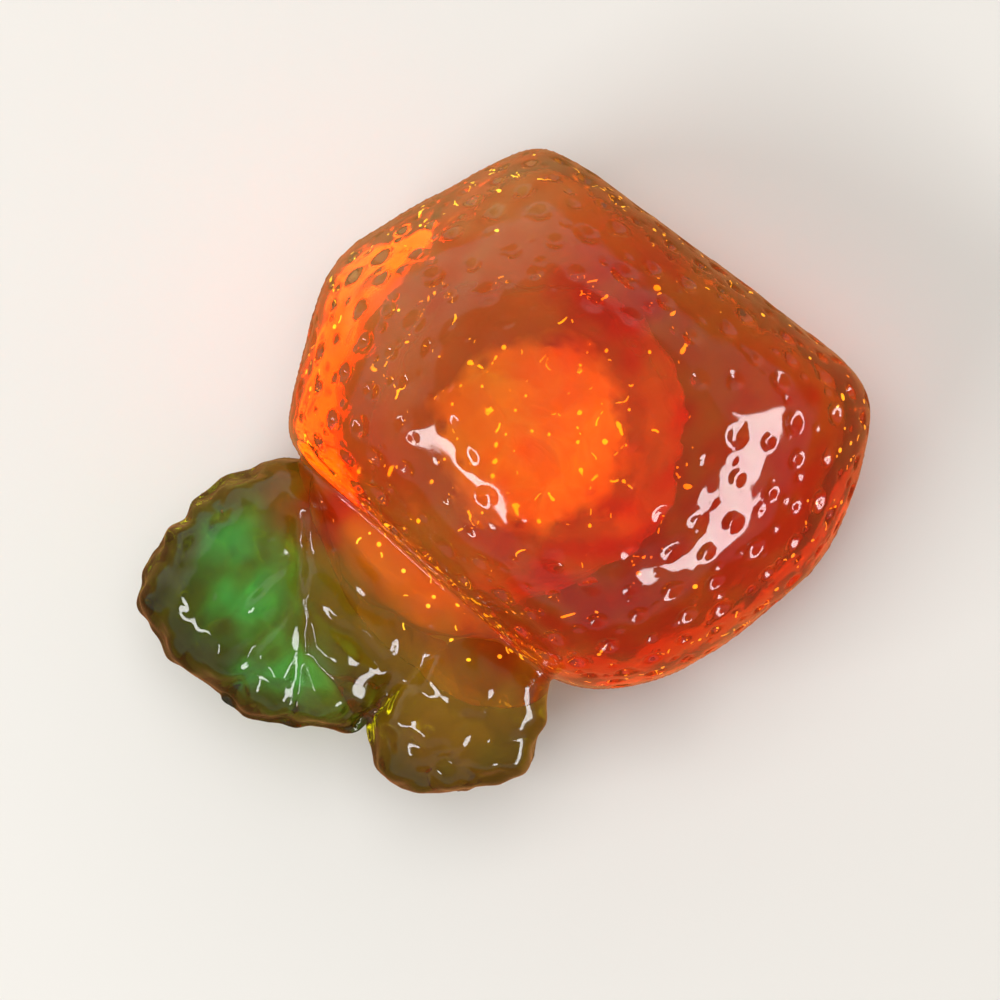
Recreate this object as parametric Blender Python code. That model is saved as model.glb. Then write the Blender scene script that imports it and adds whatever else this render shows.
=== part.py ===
"""Filled gummy candy in the form of an orange with a pair of leaves.

The fruit has a pored dome over a sharp rim and a smooth, slightly bulged back with a small
flat spot that it lies on. At the stem end it runs out in a round tongue of orange gel, which
the green gel of the two leaves closes round. X runs across the candy, -Y is the leaf end and
+Z is up. The origin is at the bottom, in the middle of the outline.
"""
import math
import random

import bmesh
import bpy
from mathutils import Matrix, Vector

MM = 0.001
CLEARANCE = 0.3 * MM
HAIR = 0.001 * MM

# Fruit. Its outline is bounded by flats: azimuth in degrees, distance from the middle.
FRUIT_FLATS = (
    (22, 12.4 * MM),
    (95, 9.6 * MM),
    (161, 11.3 * MM),
    (208, 11.3 * MM),
    (270, 7.9 * MM),
    (313, 10.6 * MM),
    (348, 11.0 * MM),
)
FRUIT_RADIUS = 13.5 * MM
DOME_HEIGHT = 10.8 * MM
BACK_DEPTH = 4.6 * MM
DOME_FULLNESS = 2.25
BACK_FULLNESS = 2.0
FOOT_RADIUS = 4.4 * MM

# Pores of the dome. Strays and limits are shares of the way from its top to its rim.
PORE_COUNT = 140
PORE_RADIUS = (0.46 * MM, 0.78 * MM)
PORE_DEPTH = 0.36
PORE_LOWEST = 0.14
PORE_SEED = 7
PORE_STRAY = 0.025
PORE_TURN_STRAY = 0.12
PORE_CROWN_SHARE = 0.3
PORE_SHARES = (0.02, 0.99)
GOLDEN_ANGLE = math.pi * (3.0 - math.sqrt(5.0))

# Where the neck leaves the fruit there are no pores: nearer the leaves and lower than this
PORE_FREE_START = -6.0 * MM
PORE_FREE_MARGIN = 1.6 * MM

# Neck that carries the leaves
NECK_FLATS = (
    (0, 6.6 * MM),
    (180, 6.8 * MM),
)
NECK_RADIUS = 7.2 * MM
NECK_RISE = 3.0 * MM
NECK_SAG = 2.3 * MM
NECK_PLACE = (-0.5 * MM, -7.0 * MM)

# Leaves. Each has its own outline, its place from the fruit's middle, its tilts in degrees,
# and the line of its rib as shares of its half width and half length.
BROAD_LEAF_FLATS = (
    (2, 5.8 * MM),
    (60, 5.6 * MM),
    (110, 5.4 * MM),
    (154, 5.5 * MM),
    (184, 5.7 * MM),
    (230, 6.3 * MM),
    (270, 5.1 * MM),
    (302, 5.3 * MM),
)
SMALL_LEAF_FLATS = (
    (28, 2.9 * MM),
    (90, 4.3 * MM),
    (135, 4.0 * MM),
    (180, 3.3 * MM),
    (222, 4.2 * MM),
    (258, 4.5 * MM),
    (302, 3.6 * MM),
    (330, 3.3 * MM),
)
BROAD_LEAF = {
    "flats": BROAD_LEAF_FLATS,
    "radius": 6.9 * MM,
    "rise": 2.9 * MM,
    "sag": 2.2 * MM,
    "place": (-4.0 * MM, -12.4 * MM, 0.5 * MM),
    "tip_up": 5,
    "side_down": -5,
    "rib": ((-0.3, 0.45), (0.0, 0.12), (0.34, -0.22), (0.6, -0.62)),
    "vein_roots": (0.18, 0.44, 0.7),
}
SMALL_LEAF = {
    "flats": SMALL_LEAF_FLATS,
    "radius": 4.9 * MM,
    "rise": 3.0 * MM,
    "sag": 2.2 * MM,
    "place": (4.7 * MM, -11.0 * MM, 0.3 * MM),
    "tip_up": -2,
    "side_down": 12,
    "rib": ((-0.1, 0.5), (0.05, 0.15), (0.1, -0.3), (0.0, -0.78)),
    "vein_roots": (0.35, 0.65),
}
LEAF_FULLNESS = 2.5
VEIN_START = 0.1
VEIN_END = 0.62
VEIN_SWEEP = 52
VEIN_LIMIT = 0.9
GROOVE_LIMIT = 0.97
AHEAD = 0.1
RIB_STEPS = 8
VEIN_STEPS = 4
RIB_GROOVE_RADIUS = 0.42 * MM
VEIN_GROOVE_RADIUS = 0.34 * MM
GROOVE_DEPTH = 0.2 * MM

# Tongue of orange gel in the green gel: a tilted cone that widens upwards
TONGUE_RADIUS = 8.9 * MM
TONGUE_LEAN = 14
TONGUE_TILT = 12
TONGUE_PLACE = (-0.7 * MM, -1.5 * MM)
TONGUE_HALF_DEPTH = 6.0 * MM

# How softly flats meet, and how round the upper part becomes
CORNER_SHARPNESS = 18
CROWN_ROUNDNESS = 0.7

# Faces around each form, and from its top to its bottom
FRUIT_FACES = (44, 22)
NECK_FACES = (28, 12)
LEAF_FACES = (30, 14)
PORE_FACES = (8, 6)
TONGUE_FACES = 40
SHARP_ANGLE = 35

# The fruit's middle at the height of its rim, from which everything is placed
RIM_HEIGHT = BACK_DEPTH * (1.0 - (FOOT_RADIUS / FRUIT_RADIUS) ** BACK_FULLNESS)
RIM_MIDDLE = Vector((0.14 * MM, 3.68 * MM, RIM_HEIGHT))

ORANGE_GEL = (0.83, 0.16, 0.03, 1.0)
GREEN_GEL = (0.05, 0.32, 0.06, 1.0)
GEL_ROUGHNESS = 0.12


def clear_scene():
    for item in list(bpy.data.objects):
        bpy.data.objects.remove(item, do_unlink=True)


def make_collection(name):
    collection = bpy.data.collections.new(name)
    bpy.context.scene.collection.children.link(collection)
    return collection


def make_material(name, colour):
    material = bpy.data.materials.new(name)
    material.use_nodes = True
    shader = material.node_tree.nodes["Principled BSDF"]
    shader.inputs["Base Color"].default_value = colour
    shader.inputs["Roughness"].default_value = GEL_ROUGHNESS
    shader.inputs["Metallic"].default_value = 0.0
    material.diffuse_color = colour
    return material


def make_object(name, bm, collection, material=None):
    mesh = bpy.data.meshes.new(name)
    bmesh.ops.recalc_face_normals(bm, faces=bm.faces)
    bm.to_mesh(mesh)
    bm.free()
    item = bpy.data.objects.new(name, mesh)
    collection.objects.link(item)
    if material is not None:
        mesh.materials.append(material)
    return item


def hide_cutter(item):
    item.hide_render = True
    item.display_type = "WIRE"


def outline_radius(azimuth, flats, widest):
    """Radius of a soft polygon: a circle trimmed by flats that blend at their corners."""
    total = (1.0 / widest) ** CORNER_SHARPNESS
    for degrees, distance in flats:
        facing = math.cos(azimuth - math.radians(degrees))
        if facing > 0.0:
            total += (facing / distance) ** CORNER_SHARPNESS
    return total ** (-1.0 / CORNER_SHARPNESS)


def mean_radius(flats, widest):
    steps = 36
    return sum(outline_radius(math.tau * k / steps, flats, widest) for k in range(steps)) / steps


def pillow_point(azimuth, share, form, upper):
    """A point of a pillow form, at a share of the way from its middle to its rim."""
    rim = outline_radius(azimuth, form["flats"], form["radius"])
    roundness = CROWN_ROUNDNESS * (1.0 - share ** 2)
    reach = share * (rim + (form["mean"] - rim) * roundness)
    power = form["top_power"] if upper else form["back_power"]
    height = max(0.0, 1.0 - share ** power) ** (1.0 / power if upper else 1.0 / form["back_curl"])
    height *= form["rise"] if upper else -form["sag"]
    return Vector((reach * math.cos(azimuth), reach * math.sin(azimuth), height))


def make_form(flats, radius, rise, sag, top_power, back_power, back_curl):
    return {
        "flats": flats,
        "radius": radius,
        "mean": mean_radius(flats, radius),
        "rise": rise,
        "sag": sag,
        "top_power": top_power,
        "back_power": back_power,
        "back_curl": back_curl,
    }


def make_pillow(form, faces):
    """A round primitive drawn out to a pillow: its equator becomes the rim."""
    bm = bmesh.new()
    bmesh.ops.create_uvsphere(bm, u_segments=faces[0], v_segments=faces[1], radius=1.0)
    for vert in bm.verts:
        x, y, z = vert.co
        share = min(1.0, math.hypot(x, y))
        vert.co = pillow_point(math.atan2(y, x), share, form, z > -HAIR)
    return bm


def seat_flat(bm, level):
    """Everything lower than the level is brought up to it, which leaves the flat spot."""
    for vert in bm.verts:
        vert.co.z = max(vert.co.z, level)
    flat = [face for face in bm.faces if all(v.co.z < level + HAIR for v in face.verts)]
    bmesh.ops.dissolve_faces(bm, faces=flat)


def add_boolean(item, operation, operand, solver="EXACT"):
    modifier = item.modifiers.new(operation.title(), "BOOLEAN")
    modifier.operation = operation
    modifier.solver = solver
    modifier.object = operand


def fruit_form():
    return make_form(
        FRUIT_FLATS, FRUIT_RADIUS, DOME_HEIGHT, BACK_DEPTH, DOME_FULLNESS, BACK_FULLNESS, 1.0
    )


def make_fruit(collection, material):
    bm = make_pillow(fruit_form(), FRUIT_FACES)
    seat_flat(bm, -RIM_HEIGHT)
    bmesh.ops.translate(bm, verts=bm.verts, vec=RIM_MIDDLE)
    return make_object("fruit", bm, collection, material)


def grown_fruit(collection):
    """The plain fruit with the clearance added all round, which the leaves are kept out of."""
    wider = tuple((degrees, distance + CLEARANCE) for degrees, distance in FRUIT_FLATS)
    form = make_form(
        wider, FRUIT_RADIUS + CLEARANCE, DOME_HEIGHT + CLEARANCE, BACK_DEPTH + CLEARANCE,
        DOME_FULLNESS, BACK_FULLNESS, 1.0,
    )
    bm = make_pillow(form, FRUIT_FACES)
    bmesh.ops.translate(bm, verts=bm.verts, vec=RIM_MIDDLE)
    grown = make_object("grown_fruit", bm, collection)
    hide_cutter(grown)
    return grown


def make_neck(name, collection):
    form = make_form(
        NECK_FLATS, NECK_RADIUS, NECK_RISE, NECK_SAG, LEAF_FULLNESS, LEAF_FULLNESS, LEAF_FULLNESS
    )
    bm = make_pillow(form, NECK_FACES)
    bmesh.ops.translate(bm, verts=bm.verts, vec=RIM_MIDDLE + Vector((*NECK_PLACE, 0.0)))
    neck = make_object(name, bm, collection)
    hide_cutter(neck)
    return neck


def leaf_form(leaf):
    return make_form(
        leaf["flats"], leaf["radius"], leaf["rise"], leaf["sag"],
        LEAF_FULLNESS, LEAF_FULLNESS, LEAF_FULLNESS,
    )


def leaf_matrix(leaf):
    place = Matrix.Translation(RIM_MIDDLE + Vector(leaf["place"]))
    tip_up = Matrix.Rotation(math.radians(-leaf["tip_up"]), 4, "X")
    side_down = Matrix.Rotation(math.radians(leaf["side_down"]), 4, "Y")
    return place @ tip_up @ side_down


def make_leaf(name, leaf, collection, material=None):
    bm = make_pillow(leaf_form(leaf), LEAF_FACES)
    bmesh.ops.transform(bm, matrix=leaf_matrix(leaf), verts=bm.verts)
    return make_object(name, bm, collection, material)


def leaf_top(leaf, across, along):
    """A point just above a leaf's upper face, from shares of its half width and half length."""
    azimuth = math.atan2(along, across)
    share = min(GROOVE_LIMIT, math.hypot(across, along))
    return pillow_point(azimuth, share, leaf_form(leaf), True)


def rib_at(leaf, t):
    """Shares across and along at t from 0 to 1 on the rib, through its few points."""
    points = leaf["rib"]
    scaled = t * (len(points) - 1)
    k = min(int(scaled), len(points) - 2)
    a, b = Vector(points[k]), Vector(points[k + 1])
    return a.lerp(b, scaled - k)


def make_groove(name, leaf, line, radius, collection):
    """A thin tube sunk into a leaf's upper face, which cuts one groove."""
    curve = bpy.data.curves.new(name, "CURVE")
    curve.dimensions = "3D"
    curve.bevel_depth = radius
    curve.bevel_resolution = 1
    curve.use_fill_caps = True
    spline = curve.splines.new("POLY")
    spline.points.add(len(line) - 1)
    lift = Vector((0.0, 0.0, radius - GROOVE_DEPTH))
    for point, (across, along) in zip(spline.points, line):
        place = leaf_matrix(leaf) @ (leaf_top(leaf, across, along) + lift)
        point.co = (*place, 1.0)
    tube = bpy.data.objects.new(name, curve)
    collection.objects.link(tube)
    bpy.context.view_layer.update()
    depsgraph = bpy.context.evaluated_depsgraph_get()
    mesh = bpy.data.meshes.new_from_object(tube.evaluated_get(depsgraph))
    bm = bmesh.new()
    bm.from_mesh(mesh)
    bmesh.ops.remove_doubles(bm, verts=bm.verts, dist=HAIR)
    bpy.data.objects.remove(tube, do_unlink=True)
    groove = make_object(name, bm, collection)
    hide_cutter(groove)
    return groove


def groove_lines(leaf):
    """The rib's line and the side veins' lines, as shares across and along the leaf."""
    rib = [rib_at(leaf, k / RIB_STEPS) for k in range(RIB_STEPS + 1)]
    lines = [(rib, RIB_GROOVE_RADIUS)]
    stretch = (VEIN_END - VEIN_START) / VEIN_STEPS
    reaches = [VEIN_START + stretch * k for k in range(VEIN_STEPS + 1)]
    for t in leaf["vein_roots"]:
        root = rib_at(leaf, t)
        ahead = (rib_at(leaf, t + AHEAD) - root).normalized()
        for side in (-1, 1):
            step = Matrix.Rotation(math.radians(side * VEIN_SWEEP), 2) @ ahead
            vein = [root + step * reach for reach in reaches]
            lines.append(([at for at in vein if at.length < VEIN_LIMIT], VEIN_GROOVE_RADIUS))
    return [(line, radius) for line, radius in lines if len(line) > 1]


def tongue_cone(name, growth, collection):
    """The cone that bounds the orange gel at the neck, moved out by half the clearance or in."""
    spread = TONGUE_HALF_DEPTH * math.tan(math.radians(TONGUE_LEAN))
    bm = bmesh.new()
    bmesh.ops.create_cone(
        bm, cap_ends=True, segments=TONGUE_FACES, depth=2 * TONGUE_HALF_DEPTH,
        radius1=TONGUE_RADIUS - spread + growth, radius2=TONGUE_RADIUS + spread + growth,
    )
    tilt = Matrix.Rotation(math.radians(TONGUE_TILT), 4, "Y")
    place = Matrix.Translation(RIM_MIDDLE + Vector((*TONGUE_PLACE, 0.0)))
    bmesh.ops.transform(bm, matrix=place @ tilt, verts=bm.verts)
    cone = make_object(name, bm, collection)
    hide_cutter(cone)
    return cone


def make_tongue(collection):
    """The stem end in orange gel: neck and leaf roots as far as the cone reaches."""
    tongue = make_neck("orange_tongue", collection)
    for name, leaf in (("broad_root", BROAD_LEAF), ("small_root", SMALL_LEAF)):
        root = make_leaf(name, leaf, collection)
        hide_cutter(root)
        add_boolean(tongue, "UNION", root)
    add_boolean(tongue, "INTERSECT", tongue_cone("inner_cone", -CLEARANCE / 2, collection))
    return tongue


def pore_places():
    """Directions down the dome on a golden-angle spiral, with a seeded unevenness."""
    draw = random.Random(PORE_SEED)
    places = []
    for k in range(PORE_COUNT):
        height = 1.0 - (1.0 - PORE_LOWEST) * (k + 0.5) / PORE_COUNT
        share = math.sqrt(1.0 - height ** 2)
        turn = draw.uniform(-PORE_TURN_STRAY, PORE_TURN_STRAY) / max(share, PORE_CROWN_SHARE)
        azimuth = k * GOLDEN_ANGLE + turn
        share += draw.uniform(-PORE_STRAY, PORE_STRAY)
        share = min(PORE_SHARES[1], max(PORE_SHARES[0], share))
        radius = draw.uniform(*PORE_RADIUS)
        places.append((azimuth, share, radius))
    return places


def surface_normal(azimuth, share, form):
    small = 0.01
    here = pillow_point(azimuth, share, form, True)
    outward = pillow_point(azimuth, share + small, form, True) - here
    sideways = pillow_point(azimuth + small, share, form, True) - here
    return outward.cross(sideways).normalized()


def clear_of_neck(point):
    return point.y > PORE_FREE_START or point.z > NECK_RISE + PORE_FREE_MARGIN


def make_pores(collection):
    """Small balls that dent the dome, all in one cutter."""
    form = fruit_form()
    around, rings = PORE_FACES
    bm = bmesh.new()
    for azimuth, share, radius in pore_places():
        point = pillow_point(azimuth, share, form, True)
        if not clear_of_neck(point):
            continue
        normal = surface_normal(azimuth, share, form)
        centre = RIM_MIDDLE + point + normal * radius * (1.0 - PORE_DEPTH)
        turn = normal.to_track_quat("Z", "Y").to_matrix().to_4x4()
        place = Matrix.Translation(centre) @ turn
        bmesh.ops.create_uvsphere(
            bm, u_segments=around, v_segments=rings, radius=radius, matrix=place
        )
    pores = make_object("pore_balls", bm, collection)
    hide_cutter(pores)
    return pores


def main():
    clear_scene()
    candy = make_collection("filled_gummy_candy")
    cutters = make_collection("cutters")
    orange = make_material("orange_gel", ORANGE_GEL)
    green = make_material("green_gel", GREEN_GEL)

    fruit = make_fruit(candy, orange)
    # The tongue is itself a result, and some balls overlap, so these two take the other solver.
    add_boolean(fruit, "UNION", make_tongue(cutters), "MANIFOLD")
    add_boolean(fruit, "DIFFERENCE", make_pores(cutters), "MANIFOLD")

    leaves = make_leaf("leaves", BROAD_LEAF, candy, green)
    small = make_leaf("small_leaf", SMALL_LEAF, cutters)
    hide_cutter(small)
    add_boolean(leaves, "UNION", small)
    add_boolean(leaves, "UNION", make_neck("leaf_neck", cutters))
    add_boolean(leaves, "DIFFERENCE", tongue_cone("outer_cone", CLEARANCE / 2, cutters))
    add_boolean(leaves, "DIFFERENCE", grown_fruit(cutters))
    for leaf_name, leaf in (("broad", BROAD_LEAF), ("small", SMALL_LEAF)):
        for number, (line, radius) in enumerate(groove_lines(leaf)):
            groove = make_groove(f"{leaf_name}_groove_{number}", leaf, line, radius, cutters)
            add_boolean(leaves, "DIFFERENCE", groove)
    for item in (fruit, leaves):
        item.data.shade_smooth()
        item.data.set_sharp_from_angle(angle=math.radians(SHARP_ANGLE))


main()
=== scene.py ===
"""Filled gummy candy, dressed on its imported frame.

An orange of clear orange gel with a pored dome, a mould seam round its rim and a smooth bulged
back, a cloudy soft filling sunk in it, and a pair of green gel leaves that run into the orange
gel at the stem end. The camera looks straight down on the dome, with the leaves at lower left.
"""
import math

import bmesh
import bpy
import numpy as np
from bpy.props import (
    FloatProperty, FloatVectorProperty, IntProperty, PointerProperty,
)
from mathutils import Matrix, Vector, noise


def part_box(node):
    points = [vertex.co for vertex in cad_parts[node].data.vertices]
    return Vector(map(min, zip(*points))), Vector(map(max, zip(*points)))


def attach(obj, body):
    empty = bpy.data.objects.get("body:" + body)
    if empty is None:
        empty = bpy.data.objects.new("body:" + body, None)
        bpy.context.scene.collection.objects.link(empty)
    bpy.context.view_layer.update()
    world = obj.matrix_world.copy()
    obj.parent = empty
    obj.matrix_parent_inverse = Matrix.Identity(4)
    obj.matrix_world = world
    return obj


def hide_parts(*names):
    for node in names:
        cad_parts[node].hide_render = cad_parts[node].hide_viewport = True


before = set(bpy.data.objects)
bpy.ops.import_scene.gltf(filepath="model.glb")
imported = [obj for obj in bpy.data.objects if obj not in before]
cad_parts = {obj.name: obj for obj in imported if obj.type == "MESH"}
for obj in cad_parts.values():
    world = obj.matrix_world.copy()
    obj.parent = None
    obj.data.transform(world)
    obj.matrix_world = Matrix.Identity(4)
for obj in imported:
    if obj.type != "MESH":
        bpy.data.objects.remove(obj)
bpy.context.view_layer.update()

bl_info = {
    "name": "Filled Gummy Candy",
    "version": (1, 0, 0),
    "blender": (4, 5, 0),
    "location": "View3D > Sidebar > Gummy Candy",
    "description": "Builds the gel, the filling and the stage of an orange-shaped gummy candy",
    "category": "Object",
}

MM = 0.001
FRUIT_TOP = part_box("fruit")[1].z


def in_mm(*rows):
    """Rows of lengths that are given in millimetres."""
    return tuple(tuple(value * MM for value in row) for row in rows)


def flat_sides(*pairs):
    """Flats that trim a circle: azimuths in degrees, distances from its middle in millimetres."""
    return tuple((azimuth, distance * MM) for azimuth, distance in pairs)


CORNER_SHARPNESS = 18
CROWN_ROUNDNESS = 0.7
DOME_HEIGHT = 10.8 * MM

# The fruit's middle at the height of its rim, from which everything is placed
RIM_MIDDLE = Vector((0.14 * MM, 3.68 * MM, FRUIT_TOP - DOME_HEIGHT))

# Forms: pillows that rise and sag from their rims. Their angles are in degrees
LEAF_CURVES = {"top_power": 2.5, "back_power": 2.5, "back_curl": 2.5}
FRUIT = {
    "flats": flat_sides(
        (22, 12.4), (95, 9.6), (161, 11.3), (208, 11.3), (270, 7.9), (313, 10.6), (348, 11.0),
    ),
    "radius": 13.5 * MM, "rise": DOME_HEIGHT, "sag": 4.6 * MM,
    "top_power": 2.25, "back_power": 2.0, "back_curl": 1.0,
    "place": (0.0, 0.0, 0.0), "tip_up": 0, "side_down": 0,
}
NECK = {
    **LEAF_CURVES,
    "flats": flat_sides((0, 6.6), (180, 6.8)),
    "radius": 7.2 * MM, "rise": 3.0 * MM, "sag": 2.3 * MM,
    "place": (-0.5 * MM, -7.0 * MM, 0.0), "tip_up": 0, "side_down": 0,
}
BROAD_LEAF = {
    **LEAF_CURVES,
    "flats": flat_sides(
        (2, 5.8), (60, 5.6), (110, 5.4), (154, 5.5),
        (184, 5.7), (230, 6.3), (270, 5.1), (302, 5.3),
    ),
    "radius": 6.9 * MM, "rise": 2.9 * MM, "sag": 2.2 * MM,
    "place": (-4.0 * MM, -12.4 * MM, 0.5 * MM), "tip_up": 5, "side_down": -5,
    "rib": ((-0.3, 0.45), (0.0, 0.12), (0.34, -0.22), (0.6, -0.62)),
    "vein_roots": (0.18, 0.44, 0.7), "vein_share": 1.0,
}
SMALL_LEAF = {
    **LEAF_CURVES,
    "flats": flat_sides(
        (28, 2.9), (90, 4.3), (135, 4.0), (180, 3.3),
        (222, 4.2), (258, 4.5), (302, 3.6), (330, 3.3),
    ),
    "radius": 4.9 * MM, "rise": 3.0 * MM, "sag": 2.2 * MM,
    "place": (4.7 * MM, -11.0 * MM, 0.3 * MM), "tip_up": -2, "side_down": 12,
    "rib": ((-0.1, 0.5), (0.05, 0.15), (0.1, -0.3), (0.0, -0.78)),
    "vein_roots": (0.35, 0.65), "vein_share": 0.35,
}
LEAVES = (BROAD_LEAF, SMALL_LEAF)
FORMS = (FRUIT, NECK, *LEAVES)
FOOT_LEVEL = 0.02 * MM

FINE_AROUND = 160
SHELL_AROUND = 96
ROUNDING = 0.0001
LEAST_GEL_FACES = 1000
LEAST_BUBBLE_FACES = 100
SHARP_ANGLE = 50

# Where the forms meet, before the rim's middle
LEAVES_START = 8.0 * MM
LEAVES_BLEND = 1.5 * MM
NECK_START = 6.6 * MM
NECK_BLEND = 1.0 * MM
NECK_TOP = 4.4 * MM
WALL_PLACE = 7.6 * MM
WALL_BAND = 1.0 * MM
WALL_HALF_HEIGHT = 4.5 * MM

# Unevenness: lumps as shares of the lumps' size with a seed, and their shares of the height
LUMPS = (1.0, 1)
FINE_LUMPS = (0.42, 2)
GRAIN = (0.2, 11)
FINE_SHARE = 0.3
FINE_LEAF_SHARE = 0.9
GRAIN_SHARE = 0.15
LEAF_LUMPS = 1.1
CRIMP_BAND = 1.0 * MM
CRIMP_SEED = 6

# Pores lie over the rim, and are shallower on the crown
DOME_START = 0.9 * MM
DOME_BLEND = 1.2 * MM
CROWN_START = 7.5 * MM
CROWN_END = 10.0 * MM
CROWN_PORES = 0.3
PORE_BOWL = 1.4
PINPRICK_SPACING = 0.8
PINPRICK_SIZE = 0.45
DENSITY_LIMIT = 4.0e6

# Tongue of orange gel in the green gel: a cone that widens upwards
TONGUE_RADIUS = 8.9 * MM
TONGUE_LEAN = 14
TONGUE_TILT = 12
TONGUE_PLACE = (-0.7 * MM, -1.5 * MM)
TONGUE_HALF_DEPTH = 6.0 * MM
TONGUE_WANDER = 0.5 * MM
TONGUE_WAVES = 3.1
TONGUE_TWIST = 90.0
BLEED_WIDTH = 2.2 * MM
# Painted shade along the leaves' rim: its width, and how far past the rim it reaches
EDGE_SHADE_WIDTH = 1.6 * MM
EDGE_SHADE_OUTSIDE = 1.0 * MM
ORANGE_SKIN = 0.15 * MM
GEL_OVERLAP = 0.03 * MM
LEAF_SPACE_START = -4.0 * MM
LEAF_SPACE_SIZE = 40.0 * MM

# Filling: a flattened round with a mound of orange paste on it; the round's red ring, flank and underside
# are painted shade
FILLING_PLACE = (-0.8 * MM, -0.7 * MM)
FILLING_FLATNESS = 0.5
MOUND_POWER = 4
# Painted shade: where the red ring, the flank and the underside of the filling start, and how softly
UNDERSIDE_BLEND = 0.5 * MM
RING_START = 0.9
RING_BLEND = 0.18
FLANK_START = 1.2
FLANK_BLEND = 0.35

# Cloud in the tongue: its middle from the rim's middle, half lengths, and bend along the wall
CLOUD_PLACE = (-1.7 * MM, -8.4 * MM, 0.7 * MM)
CLOUD_REACH = (5.3 * MM, 1.9 * MM, 1.1 * MM)
CLOUD_BEND = -20.0
CLOUD_THINS = 0.45

# Noise in and on them: its share, its size and its seed, and how far a seed moves any noise
SEED_STEP = (7.3, 1.9, 4.1)
FILLING_WANDER = (1.0, 0.7, 3)
FILLING_FRAY = (0.45, 0.25, 4)
CLOUD_WANDER = (0.14, 0.5, 12)
CLOUD_FRAY = (0.12, 0.9 * MM, 13)
RING_WANDER = (0.14, 1.8 * MM, 7)
RING_FRAY = (0.08, 0.6 * MM, 8)

# Streaks among the bubbles, in bubble radii and radians
STREAK_BEND = 3.6
STREAK_SWEEP = 1.0
STREAK_THICKNESS = 0.4
# Painted glint: how brightly the bubbles glow, though they are no lamp
PAINTED_GLINT_GLOW = 1.6
BUBBLE_TIP = 0.6

# Where bubbles lie: over the mound and beside it, along the rim, and in the tongue
MOUND_EDGE = 1.1
BESIDE_MOUND = 0.22
RIM_SHARE = 0.5
RIM_FOOT = 0.3 * MM
TONGUE_OUTSIDE = 0.3 * MM
TONGUE_BLEND = 2.0 * MM
TONGUE_START = 5.5 * MM
TONGUE_FOOT = 0.2 * MM

# Colour in the gel: contrast of its clouds; tints across and along from the rim's middle, and as wide as
# their third number. Of these, amber, clear and brown are painted light, and dark is painted shade
CLOUD_CONTRAST = (0.35, 0.7)
STAIN_SWAY = 0.8
STAIN_SWAY_SIZE = 1.1 * MM
STAIN_SEED = 9
FRUIT_STAINS_AND_PAINTED_LIGHT = {
    "red": in_mm((10.0, 3.0, 6.5), (6.0, -4.2, 5.0), (-1.6, 5.0, 2.6), (-5.1, -8.0, 1.8)),
    # amber: painted light, as if light shone through the thin flank from behind
    "painted_backlight": in_mm((-10.4, 5.6, 4.2), (-11.6, 0.4, 3.0)),
}
LEAF_STAINS_AND_PAINTED_LIGHT = {
    "red": in_mm((-5.6, -9.0, 1.5)),
    # clear: painted light, bright green pools of light focused through the leaves
    "clear": in_mm(
        (-7.1, -12.0, 1.25), (-5.0, -13.2, 1.5), (-5.1, -11.1, 1.3),
        (-1.4, -14.6, 1.4), (0.8, -15.4, 0.8), (-3.2, -16.2, 0.7),
    ),
    # brown: painted light, orange light shining up through the small leaf from below
    "painted_underlight": in_mm((4.2, -12.2, 3.4)),
    # dark: painted shade towards the broad leaf's tip and edges
    "painted_shade_spots": in_mm((-9.2, -15.0, 3.2), (-5.6, -17.2, 2.4), (-9.6, -10.4, 2.2)),
}

# Veins of the leaves, in shares of a leaf's half width, and their angle from the rib
VEIN_START = 0.06
VEIN_END = 0.72
VEIN_SWEEP = 48
VEIN_POINTS = 9
RIB_POINTS = 13
RIB_AHEAD = 0.1
NEAR_LEAF = 1.05
WITHIN_RIM = 0.98

# Axes of the picture, seen from above
PICTURE_RIGHT = Vector((0.747, 0.664, 0.0))
PICTURE_UP = Vector((-0.664, 0.747, 0.0))

# Light of the room: overhead, in front, on the wall behind the far side, and from below
TOP_LIGHT = 0.3
FRONT_LIGHT = 0.6
WALL_LIGHT = 1.1
BELOW_LIGHT = 0.9
WARM_WHITE = (1.0, 0.97, 0.91)
WARM_BELOW = (1.0, 0.42, 0.16)
WALL_SIDE = 0.94 * PICTURE_UP - 0.34 * PICTURE_RIGHT
WALL_EDGES = (0.35, 0.75)
WALL_TOP = (0.57, 0.5)
BELOW_FADE = (-0.12, 0.0)
KEY_POWER = 3.2
STRIP_POWER = 0.22
FILL_POWER = 1.75


def length(name, description, millimetres, low=0.0):
    """A length in the candy's settings, given in millimetres."""
    return FloatProperty(
        name=name, description=description, default=millimetres * MM, min=low * MM,
        unit="LENGTH", precision=6,
    )


def colour(name, description, default):
    """A colour in the candy's settings."""
    return FloatVectorProperty(
        name=name, description=description, default=default, size=3, min=0.0, max=1.0,
        subtype="COLOR",
    )


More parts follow.
